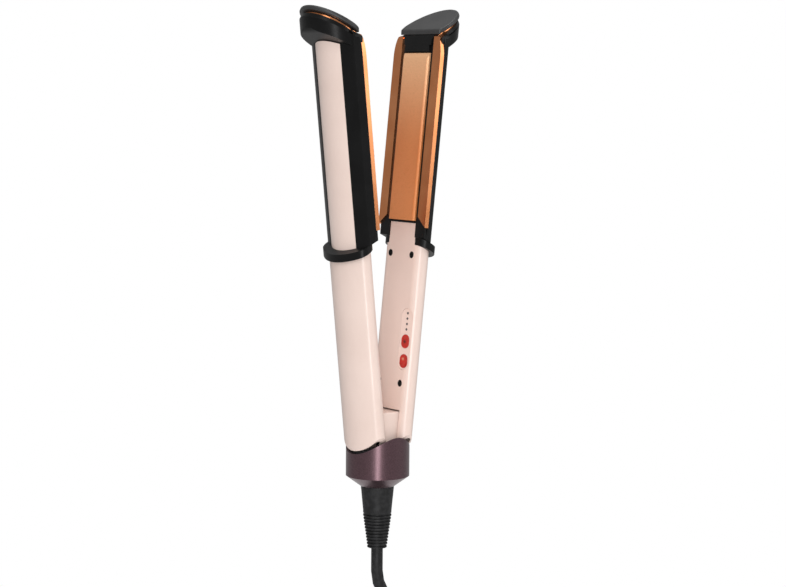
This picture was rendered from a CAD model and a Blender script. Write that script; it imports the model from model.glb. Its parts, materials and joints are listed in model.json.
"""Hair straightener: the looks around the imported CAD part. Metres, in the CAD's frame."""
import json
import math

import bmesh
import bpy
from mathutils import Matrix, Vector

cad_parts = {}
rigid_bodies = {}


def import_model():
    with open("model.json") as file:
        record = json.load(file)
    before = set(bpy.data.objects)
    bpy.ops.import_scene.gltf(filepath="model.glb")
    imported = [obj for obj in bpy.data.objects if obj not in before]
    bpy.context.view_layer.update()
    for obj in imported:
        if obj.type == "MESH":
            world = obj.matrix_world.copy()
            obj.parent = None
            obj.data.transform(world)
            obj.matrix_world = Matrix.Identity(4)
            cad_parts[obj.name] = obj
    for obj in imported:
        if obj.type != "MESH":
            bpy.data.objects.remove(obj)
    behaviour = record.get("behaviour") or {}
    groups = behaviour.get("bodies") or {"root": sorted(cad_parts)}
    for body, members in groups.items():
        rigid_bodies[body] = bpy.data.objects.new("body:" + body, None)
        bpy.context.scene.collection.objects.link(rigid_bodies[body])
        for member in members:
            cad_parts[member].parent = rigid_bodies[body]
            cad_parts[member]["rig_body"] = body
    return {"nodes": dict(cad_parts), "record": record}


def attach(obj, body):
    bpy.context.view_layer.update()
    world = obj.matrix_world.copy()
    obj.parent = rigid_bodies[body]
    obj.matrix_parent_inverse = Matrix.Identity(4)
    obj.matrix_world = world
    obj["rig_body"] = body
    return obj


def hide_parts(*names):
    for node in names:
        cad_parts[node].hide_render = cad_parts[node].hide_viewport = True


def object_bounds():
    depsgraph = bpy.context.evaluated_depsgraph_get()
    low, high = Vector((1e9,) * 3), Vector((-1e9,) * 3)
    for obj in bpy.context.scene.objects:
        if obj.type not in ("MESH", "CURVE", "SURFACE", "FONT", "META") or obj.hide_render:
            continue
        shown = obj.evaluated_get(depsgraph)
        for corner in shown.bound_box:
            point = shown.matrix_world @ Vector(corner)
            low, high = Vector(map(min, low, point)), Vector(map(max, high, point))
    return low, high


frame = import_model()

cad_low, cad_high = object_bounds()

# Sizes, in mm, as in part.scad
MM = 0.001
OPEN = math.radians(6.05)           # how far each arm stands open at rest
PIN_X, PIN_Z = 8.0, 12.0            # the arms' hinge pins
CORD_R, LANE, FOLD_R, TURNS, RUN, HANK_Z, WAIST = 4.0, 8.7, 24.5, 5, 124.0, -140.0, 12.0
LANE_OUT = FOLD_R + LANE * TURNS / 2
TAIL_X, TAIL_Y = 8.0, 20.0

# Camera, fitted to the photograph's outlines
CAMERA_AZIMUTH, CAMERA_ROLL = math.radians(37.3), math.radians(0.44)
CAMERA_AWAY, CAMERA_HEIGHT = 1.4, 0.27
AIM_RIGHT, AIM_HEIGHT = 0.0094, 0.1286
SENSOR_MM, LENS_MM = 36, 97.4


def place_camera():
    across, back = math.cos(CAMERA_AZIMUTH), math.sin(CAMERA_AZIMUTH)
    aim = Vector((across, -back, 0)) * AIM_RIGHT + Vector((0, 0, AIM_HEIGHT))
    data = bpy.data.cameras.new("photo_camera")
    data.sensor_width, data.lens = SENSOR_MM, LENS_MM
    data.clip_start, data.clip_end = 0.05, 50
    camera = bpy.data.objects.new("photo_camera", data)
    bpy.context.scene.collection.objects.link(camera)
    camera.location = (-back * CAMERA_AWAY, -across * CAMERA_AWAY, CAMERA_HEIGHT)
    look = (aim - camera.location).to_track_quat("-Z", "Y")
    camera.rotation_euler = (look.to_matrix() @ Matrix.Rotation(CAMERA_ROLL, 3, "Z")).to_euler()
    bpy.context.scene.camera = camera


place_camera()

# The lead, as part.scad routes it: straight down, an S out to the hank, its turns, and the tail.
# CORD_ROUTE is (share of the way out to the hank's lane, height).
CORD_ROUTE = [(0, -42), (0, -50), (0, -58), (0.03, -66), (0.12, -74), (0.25, -81.5), (0.4, -88.5),
              (0.55, -95.3), (0.71, -102.5), (0.85, -110.6), (0.95, -119.6), (0.995, -129), (1, -134)]
# TAIL_ROUTE is (share of the way to the plug in x, the same in y, height).
TAIL_ROUTE = [(0, 0, -148), (0, 0, -152), (0, 0.05, -158), (0.01, 0.2, -165), (0.035, 0.5, -171.5),
              (0.075, 0.8, -178), (0.145, 0.95, -185), (0.23, 1, -191), (0.39, 1, -199.5), (0.57, 1, -207.5),
              (0.74, 1, -216), (0.87, 1, -225), (0.96, 1, -234.5), (1, 1, -244), (1, 1, -250)]
# Shares of a turn at which the near run, the lower fold and the far run end. The upper fold ends it.
NEAR_RUN, LOW_FOLD, FAR_RUN = 0.28, 0.5, 0.78
FOLD = LOW_FOLD - NEAR_RUN
POINTS_A_FOLD, POINTS_A_RUN = 12, 6


def hank_at(turn, share):
    """Centre of the cord in the hank, share of the way round a turn."""
    past_middle = turn + share - TURNS / 2
    out = FOLD_R + LANE * abs(past_middle)
    change = min(1, max(0, past_middle * 2 + 0.5))
    layer = LANE * change * change * (3 - 2 * change)
    low = HANK_Z - RUN
    if share < NEAR_RUN:
        along = share / NEAR_RUN
        return (out - WAIST * math.sin(math.pi * along) ** 2, layer, HANK_Z - RUN * along)
    if share < LOW_FOLD:
        angle = math.pi * (share - NEAR_RUN) / FOLD
        return (out * math.cos(angle), layer, low - out * math.sin(angle))
    if share < FAR_RUN:
        along = (share - LOW_FOLD) / NEAR_RUN
        return (-out + WAIST * math.sin(math.pi * along) ** 2, layer, low + RUN * along)
    angle = math.pi * (share - FAR_RUN) / FOLD
    return (-out * math.cos(angle), layer, HANK_Z + out * math.sin(angle))


def hank_shares():
    """Where the points of one turn lie, as shares of it."""
    shares = []
    for run_start, fold_start in ((0, NEAR_RUN), (LOW_FOLD, FAR_RUN)):
        shares += [run_start + NEAR_RUN * i / POINTS_A_RUN for i in range(POINTS_A_RUN)]
        shares += [fold_start + FOLD * i / POINTS_A_FOLD for i in range(POINTS_A_FOLD)]
    return shares


def lead_points():
    points = [(share * LANE_OUT, 0, z) for share, z in CORD_ROUTE]
    for turn in range(TURNS):
        points += [hank_at(turn, share) for share in hank_shares()]
    points.append(hank_at(TURNS, 0))
    points += [(LANE_OUT + (TAIL_X - LANE_OUT) * a, LANE + (TAIL_Y - LANE) * b, z) for a, b, z in TAIL_ROUTE]
    return points


def make_lead():
    """The mains lead as one tube, and its length in metres."""
    points = [Vector(point) * MM for point in lead_points()]
    curve = bpy.data.curves.new("mains_lead", "CURVE")
    curve.dimensions = "3D"
    curve.bevel_depth = 1.0         # times each point's radius, which also sets the curve's box
    curve.bevel_resolution = 5
    curve.use_fill_caps = True
    curve.resolution_u = 1
    spline = curve.splines.new("POLY")
    spline.points.add(len(points) - 1)
    for slot, point in zip(spline.points, points):
        slot.co = (*point, 1)
        slot.radius = CORD_R * MM
    lead = bpy.data.objects.new("mains_lead", curve)
    bpy.context.scene.collection.objects.link(lead)
    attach(lead, "cord_set")
    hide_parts("mains_cord", "cord_hank", "cord_tail")
    return lead, sum((b - a).length for a, b in zip(points, points[1:]))


# Shader maths
class Val:
    """A socket of a node tree that adds and multiplies like a number."""

    def __init__(self, tree, out):
        self.tree, self.out = tree, out

    def maths(self, operation, *values):
        sockets = dict(enumerate(values))
        return add_node(self.tree, "ShaderNodeMath", {"operation": operation}, sockets, 0)

    def __add__(self, other):
        return self.maths("ADD", self, other)

    def __sub__(self, other):
        return self.maths("SUBTRACT", self, other)

    def __rsub__(self, other):
        return self.maths("SUBTRACT", other, self)

    def __mul__(self, other):
        return self.maths("MULTIPLY", self, other)

    __radd__, __rmul__ = __add__, __mul__

    def root(self):
        return self.maths("SQRT", self)

    def step(self, low, high):
        """0 below low, 1 above high, smooth between."""
        settings = {"interpolation_type": "SMOOTHSTEP"}
        sockets = {"Value": self, "From Min": low, "From Max": high}
        return add_node(self.tree, "ShaderNodeMapRange", settings, sockets, "Result")


def feed(tree, socket, value):
    """Links or sets one socket."""
    if isinstance(value, Val):
        tree.links.new(value.out, socket)
    else:
        socket.default_value = value


def add_node(tree, kind, settings, sockets, out):
    """Adds a node: its settings first, then a value or a link for each socket. Gives its output."""
    node = tree.nodes.new(kind)
    for name, value in settings.items():
        setattr(node, name, value)
    for key, value in sockets.items():
        feed(tree, node.inputs[key], value)
    return Val(tree, node.outputs[out])


class Finish:
    """A material with one Principled shader, worked out from the object's own coordinates."""

    def __init__(self, name, **constants):
        self.material = bpy.data.materials.new(name)
        self.material.use_nodes = True
        self.tree = self.material.node_tree
        self.shader = self.tree.nodes["Principled BSDF"]
        for key, value in constants.items():
            self.shader.inputs[key.replace("_", " ")].default_value = value
        self.place = self.node("ShaderNodeTexCoord", {}, {}, "Object")

    def node(self, kind, settings, sockets, out):
        return add_node(self.tree, kind, settings, sockets, out)

    def axes(self):
        """x, y and z in metres."""
        return [self.node("ShaderNodeSeparateXYZ", {}, {0: self.place}, axis) for axis in "XYZ"]

    def stretched(self, *scale):
        """The place with each axis scaled by itself, for a drawn or brushed grain."""
        return self.node("ShaderNodeVectorMath", {"operation": "MULTIPLY"}, {0: self.place, 1: scale}, 0)

    def noise(self, scale, detail, place=None):
        sockets = {"Vector": place or self.place, "Scale": scale, "Detail": detail}
        return self.node("ShaderNodeTexNoise", {}, sockets, "Fac")

    def flakes(self, scale):
        """A number of its own for each cell, as metallic flakes have."""
        colour = self.node("ShaderNodeTexVoronoi", {}, {"Vector": self.place, "Scale": scale}, "Color")
        return self.node("ShaderNodeSeparateColor", {}, {0: colour}, 0)

    def mix(self, a, b, share):
        """Between two colours, each a socket or a triple."""
        first, second = [value if isinstance(value, Val) else (*value, 1.0) for value in (a, b)]
        return self.node("ShaderNodeMix", {"data_type": "RGBA"}, {0: share, 6: first, 7: second}, 2)

    def colour(self, value):
        feed(self.tree, self.shader.inputs["Base Color"], value)

    def rough(self, value):
        feed(self.tree, self.shader.inputs["Roughness"], value)

    def bump(self, height, distance, strength):
        sockets = {"Height": height, "Distance": distance, "Strength": strength}
        feed(self.tree, self.shader.inputs["Normal"], self.node("ShaderNodeBump", {}, sockets, 0))


def handle_lacquer():
    """Pink lacquer of the handles, panels and control pill."""
    deep, light, glint = (0.84, 0.66, 0.585), (0.88, 0.70, 0.625), (0.96, 0.82, 0.75)
    f = Finish("pink_lacquer", Coat_Weight=0.35, Coat_Roughness=0.12)
    flakes = f.flakes(5200).step(0.55, 1.0)
    base = f.mix(deep, light, f.noise(26, 3).step(0.3, 0.7))
    f.colour(f.mix(base, glint, flakes * 0.2))
    f.rough(f.noise(900, 2) * 0.10 + 0.30)
    f.bump(f.noise(1500, 2), distance=0.00002, strength=0.35)
    return f.material


def collar_metallic():
    """Plum paint of the collar, with fine flakes under a clear coat."""
    deep, light, glint = (0.10, 0.050, 0.062), (0.16, 0.085, 0.10), (0.24, 0.14, 0.16)
    f = Finish("plum_metallic", Metallic=0.85, Coat_Weight=0.6, Coat_Roughness=0.3)
    flakes = f.flakes(4200)
    base = f.mix(deep, light, flakes.step(0.35, 1.0))
    f.colour(f.mix(base, glint, flakes.step(0.95, 1.0) * 0.5))
    f.rough(flakes * 0.1 + 0.27)
    f.bump(flakes, distance=0.00001, strength=0.3)
    return f.material


def head_plastic(name, tone=0.006, roughness=0.30, shine=0.16):
    """Black or grey moulded plastic of the heads and caps."""
    f = Finish(name, Specular_IOR_Level=shine)
    dark, light = (tone, tone, tone * 1.02), (tone * 1.5, tone * 1.5, tone * 1.52)
    f.colour(f.mix(dark, light, f.noise(60, 3).step(0.3, 0.75)))
    f.rough(f.noise(1100, 3) * 0.14 + (roughness - 0.07))
    f.bump(f.noise(2600, 3), distance=0.00002, strength=0.5)
    return f.material


def rim_copper():
    """Copper sheet of the rims, drawn along the arm."""
    deep, light, streak = (0.74, 0.27, 0.105), (0.84, 0.34, 0.145), (0.95, 0.55, 0.33)
    f = Finish("copper_sheet", Metallic=1.0)
    drawn = f.noise(1.0, 3, place=f.stretched(2400, 2400, 22))
    sheet = f.mix(deep, light, f.noise(45, 2).step(0.3, 0.7))
    f.colour(f.mix(sheet, streak, drawn.step(0.55, 0.8) * 0.3))
    f.rough(drawn * 0.12 + 0.17)
    f.bump(drawn, distance=0.00001, strength=0.25)
    return f.material


def plate_coating():
    """Copper coloured coating of the hot plates, paler towards the tip."""
    deep, light = (0.70, 0.235, 0.070), (0.80, 0.30, 0.10)
    tip, speckle = (1.0, 0.60, 0.33), (0.96, 0.66, 0.44)
    fade_low, fade_high = 0.22, 0.31        # heights in metres
    f = Finish("plate_coating", Metallic=0.25, Coat_Weight=0.15, Coat_Roughness=0.2)
    speck = f.noise(3200, 2)
    coat = f.mix(deep, light, f.noise(18, 2).step(0.25, 0.75))
    coat = f.mix(coat, tip, f.axes()[2].step(fade_low, fade_high))
    f.colour(f.mix(coat, speckle, speck.step(0.6, 0.85) * 0.12))
    f.rough(speck * 0.08 + 0.24)
    f.bump(speck, distance=0.000004, strength=0.2)
    return f.material


def lead_rubber():
    """Black jacket of the lead, its relief and the plug."""
    dark, light = (0.007, 0.007, 0.0075), (0.020, 0.020, 0.021)
    f = Finish("lead_pvc", Specular_IOR_Level=0.3)
    f.colour(f.mix(dark, light, f.noise(300, 3).step(0.35, 0.75)))
    f.rough(f.noise(1300, 2) * 0.2 + 0.38)
    f.bump(f.noise(1800, 3), distance=0.00006, strength=0.5)
    return f.material


DARK_MARK, CREAM_MARK = (0.03, 0.004, 0.004), (0.75, 0.42, 0.25)


def key_red(name, marks=(), mark_tone=DARK_MARK):
    """Glossy red of the keys, with round printed marks: each is (x, y, z in metres, radius in mm)."""
    deep, light = (0.42, 0.010, 0.006), (0.56, 0.022, 0.014)
    f = Finish(name, Coat_Weight=0.6, Coat_Roughness=0.05)
    tone = f.mix(deep, light, f.noise(500, 2).step(0.3, 0.7))
    for *middle, radius in marks:
        x, y, z = [axis - at for axis, at in zip(f.axes(), middle)]
        away = (x * x + y * y + z * z).root()
        tone = f.mix(mark_tone, tone, away.step(radius * MM * 0.8, radius * MM * 1.2))
    f.colour(tone)
    f.rough(f.noise(900, 2) * 0.08 + 0.18)
    return f.material


def bare_metal(name, tone, roughness):
    f = Finish(name, Metallic=1.0)
    grain = f.noise(1.0, 3, place=f.stretched(1800, 1800, 60))
    f.colour(f.mix([c * 0.85 for c in tone], tone, grain.step(0.3, 0.7)))
    f.rough(grain * 0.2 + (roughness - 0.1))
    f.bump(grain, distance=0.00001, strength=0.3)
    return f.material


def soft_plastic(name, tone, roughness):
    f = Finish(name)
    f.colour(f.mix([c * 0.9 for c in tone], tone, f.noise(250, 3).step(0.35, 0.7)))
    f.rough(f.noise(1200, 2) * 0.15 + (roughness - 0.07))
    f.bump(f.noise(2200, 2), distance=0.00003, strength=0.4)
    return f.material


# The record's material slots, and a few finishes of the new pieces alone
MATERIALS = {
    "pink_paint": handle_lacquer(),
    "plum_plastic": collar_metallic(),
    "black_rubber": lead_rubber(),
    "black_plastic": head_plastic("black_satin"),
    "back_plastic": head_plastic("back_shell_black", tone=0.005, roughness=0.33),
    "steel": bare_metal("zinc_plated_steel", (0.62, 0.62, 0.64), 0.34),
    "zinc": bare_metal("cast_zinc", (0.5, 0.5, 0.52), 0.45),
    "brass": bare_metal("brass_ring", (0.8, 0.6, 0.28), 0.3),
    "brass_plated": bare_metal("nickel_pins", (0.78, 0.76, 0.72), 0.22),
    "clear_plastic": soft_plastic("light_pipe_smoke", (0.12, 0.11, 0.11), 0.3),
    "circuit_board": soft_plastic("board_green", (0.03, 0.18, 0.08), 0.4),
    "red_plastic": key_red("button_red"),
    "seam_shadow": soft_plastic("seam_shadow", (0.02, 0.012, 0.010), 0.6),
    "copper_edge": bare_metal("copper_edge_bright", (0.95, 0.60, 0.42), 0.3),
    "strap": soft_plastic("strap_black", (0.02, 0.02, 0.022), 0.8),
    "copper": rim_copper(),
    "copper_ceramic": plate_coating(),
    "grey_satin": head_plastic("cap_satin_grey", tone=0.024, roughness=0.45, shine=0.6),
    "silicone": soft_plastic("silicone_white", (0.6, 0.6, 0.58), 0.55),
    "aluminium": bare_metal("heater_aluminium", (0.75, 0.75, 0.76), 0.3),
}

# Pieces
SOFT_EDGE_DEG = 34          # edges sharper than this stay sharp
WORN_EDGE_DEG = 28          # edges sharper than this are worn
MERGE, FLAT_DEG = 2e-6, 0.5  # metres between points that are one, and degrees between faces that are one
SLOTS = {part["node"]: part["material_slot"] for part in frame["record"]["subparts"]}

lead, lead_length = make_lead()
lead.data.materials.append(MATERIALS["black_rubber"])


def dress_nodes():
    for name, node in frame["nodes"].items():
        node.data.materials.clear()
        node.data.materials.append(MATERIALS[SLOTS[name]])


def closed(point, side):
    """A point of the open rest place, in mm of the closed right arm."""
    x, y, z = point.x / MM * side - PIN_X, point.y / MM, point.z / MM - PIN_Z
    c, s = math.cos(OPEN), math.sin(OPEN)
    return Vector((PIN_X + x * c - z * s, y, PIN_Z + z * c + x * s))


def finish_mesh(bm, name, body, slot, nodes, material=None):
    """Shades, names and registers a piece that stands for some CAD nodes."""
    for face in bm.faces:
        face.smooth = True
    bm.normal_update()
    for edge in bm.edges:
        edge.smooth = len(edge.link_faces) != 2 or edge.calc_face_angle(0) < math.radians(SOFT_EDGE_DEG)
    mesh = bpy.data.meshes.new(name)
    bm.to_mesh(mesh)
    bm.free()
    piece = bpy.data.objects.new(name, mesh)
    bpy.context.scene.collection.objects.link(piece)
    mesh.materials.append(MATERIALS[material or slot])
    piece.modifiers.new("flat_faces_stay_flat", "WEIGHTED_NORMAL").keep_sharp = True
    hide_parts(*nodes)
    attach(piece, body)
    return piece


def worn_edges(bm, rule, side):
    """The corners that one pass rounds: all of them, or those whose middle the rule takes."""
    edges = []
    for edge in bm.edges:
        if len(edge.link_faces) != 2 or edge.calc_face_angle(0) < math.radians(WORN_EDGE_DEG):
            continue
        middle = (edge.verts[0].co + edge.verts[1].co) / 2
        if rule is None or rule(closed(middle, side)):
            edges.append(edge)
    return edges


def rounded(name, node, passes, side=1, material=None, edge_material=None):
    """A copy of a CAD node with worn edges: each pass is (width in mm, segments, which edges)."""
    source = frame["nodes"][node]
    bm = bmesh.new()
    bm.from_mesh(source.data)
    bmesh.ops.remove_doubles(bm, verts=bm.verts, dist=MERGE)
    bmesh.ops.dissolve_limit(bm, angle_limit=math.radians(FLAT_DEG), verts=bm.verts, edges=bm.edges)
    for width, segments, rule in passes:
        worn = bmesh.ops.bevel(bm, geom=worn_edges(bm, rule, side), offset=width * MM, segments=segments,
                               profile=0.5, affect="EDGES", clamp_overlap=True, material=-1)
        for face in worn["faces"] if edge_material else ():
            face.material_index = 1
    piece = finish_mesh(bm, name, source["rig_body"], SLOTS[node], [node], material)
    if edge_material:
        piece.data.materials.append(MATERIALS[edge_material])
    return piece


def middle_of(node):
    """Middle of a CAD node's box, in metres."""
    points = [v.co for v in frame["nodes"][node].data.vertices]
    return [(min(p[i] for p in points) + max(p[i] for p in points)) / 2 for i in range(3)]


def at_foot_wave(p):
    """The handle's wavy foot over the collar, outside the hinge."""
    foot_top, hinge_r = 45, 12
    return p.z < foot_top and math.hypot(p.x, p.y) > hinge_r


def above_shoulder(p):
    """The collar's wavy upper edge."""
    shoulder = 15
    return p.z > shoulder


# One arm's pieces: new name, CAD node, edge width in mm, segments, finish, finish of the edges
ARM_PIECES = [
    ("inner_lid", "inner_cover", 0.35, 2, None, None),
    ("lid_screws", "cover_screws", 0.12, 1, None, None),
    ("head_body", "head_frame", 0.7, 3, None, None),
    ("head_shell", "head_back", 0.9, 3, "back_plastic", None),
    ("blush_panel", "back_panel", 0.5, 3, None, None),
    ("copper_edge", "copper_rim", 0.3, 2, None, "copper_edge"),
    ("cap", "tip_cap", 1.1, 4, None, None),
    ("cap_foot", "tip_block", 0.4, 2, None, None),
    ("hot_plate", "plate", 0.25, 2, None, None),
]


def make_arm(word, side):
    rounded(word + "_handle_case", word + "_handle_shell", [(0.8, 3, at_foot_wave), (0.25, 2, None)], side)
    for name, node, width, segments, material, edge_material in ARM_PIECES:
        rounded(f"{word}_{name}", f"{word}_{node}", [(width, segments, None)], side, material, edge_material)


def make_keys():
    """The control pill with its dark seam, and its two keys with their printed marks."""
    power_mark, mode_mark, mode_marks_at = 2.2, 1.9, (-2, 1.6)
    x, y, z = middle_of("mode_button")
    mode_marks = [(x, y, z + up * MM, mode_mark) for up in mode_marks_at]
    MATERIALS["power_red"] = key_red("power_red", [(*middle_of("power_button"), power_mark)])
    MATERIALS["mode_red"] = key_red("mode_red", mode_marks, CREAM_MARK)
    rounded("pill_frame", "control_panel", [(0.5, 2, None)], edge_material="seam_shadow")
    rounded("power_key", "power_button", [(0.45, 3, None)], material="power_red")
    rounded("mode_key", "mode_button", [(0.45, 3, None)], material="mode_red")


dress_nodes()
make_arm("right", 1)
make_arm("left", -1)
rounded("plum_collar", "base_collar", [(0.9, 4, above_shoulder), (0.5, 3, None)])
rounded("hinge_block", "hinge_cover", [(0.8, 3, None)])
make_keys()
rounded("cable_boot", "strain_relief", [(0.25, 2, None)])
strap = rounded("strap", "hank_tie", [(0.4, 2, None)])
plug = rounded("plug_case", "plug_body", [(1.6, 4, None)])
pins = rounded("contact_pins", "plug_pins", [(0.6, 3, None)])

# Room: floor, lights and white surround
FLOOR_R, FLOOR_GAP = 0.85, 0.0015
SURROUND_LIGHT = 0.38
# Soft lamps: name, place, what they face, width and height in metres, watts
LAMPS = [
    ("key_left", (-1.6, -1.2, 1.3), (0, 0, 0.15), 1.0, 1.6, 11),
    ("front_strip", (-0.68, -0.92, 0.15), (0, 0, 0.12), 0.2, 1.0, 5.5),
    ("fill_right", (1.5, -1.6, 0.9), (0, 0, 0.15), 1.2, 1.6, 12),
    ("top", (0.0, 0.2, 2.0), (0, 0, 0.15), 1.2, 1.2, 14),
]


def make_floor():
    pale, paler = (0.86, 0.86, 0.86), (0.9, 0.9, 0.9)
    bm = bmesh.new()
    place = Matrix.Translation((0, 0, cad_low.z - FLOOR_GAP))
    bmesh.ops.create_circle(bm, cap_ends=True, segments=72, radius=FLOOR_R, matrix=place)
    mesh = bpy.data.meshes.new("studio_floor")
    bm.to_mesh(mesh)
    bm.free()
    floor = bpy.data.objects.new("studio_floor", mesh)
    bpy.context.scene.collection.objects.link(floor)
    f = Finish("floor_paper", Roughness=0.9)
    f.colour(f.mix(pale, paler, f.noise(3, 2)))
    mesh.materials.append(f.material)


def add_lamp(name, where, aim, width, height, watts):
    data = bpy.data.lights.new(name, "AREA")
    data.shape = "RECTANGLE"
    data.energy, data.size, data.size_y = watts, width, height
    lamp = bpy.data.objects.new(name, data)
    bpy.context.scene.collection.objects.link(lamp)
    lamp.location = where
    lamp.rotation_euler = (Vector(aim) - Vector(where)).to_track_quat("-Z", "Y").to_euler()


def make_surround():
    """White where the camera looks at it, and a plain soft light on the object."""
    world = bpy.data.worlds.new("studio_white")
    bpy.context.scene.world = world
    world.use_nodes = True
    tree = world.node_tree
    tree.nodes.clear()
    white = (1, 1, 1, 1)
    seen = add_node(tree, "ShaderNodeBackground", {}, {"Color": white, "Strength": 1.0}, 0)
    lit = add_node(tree, "ShaderNodeBackground", {}, {"Color": white, "Strength": SURROUND_LIGHT}, 0)
    from_camera = add_node(tree, "ShaderNodeLightPath", {}, {}, "Is Camera Ray")
    both = add_node(tree, "ShaderNodeMixShader", {}, {0: from_camera, 1: lit, 2: seen}, 0)
    tree.links.new(both.out, tree.nodes.new("ShaderNodeOutputWorld").inputs[0])


make_floor()
make_surround()
for lamp in LAMPS:
    add_lamp(*lamp)
bpy.context.scene.view_settings.view_transform = "Standard"
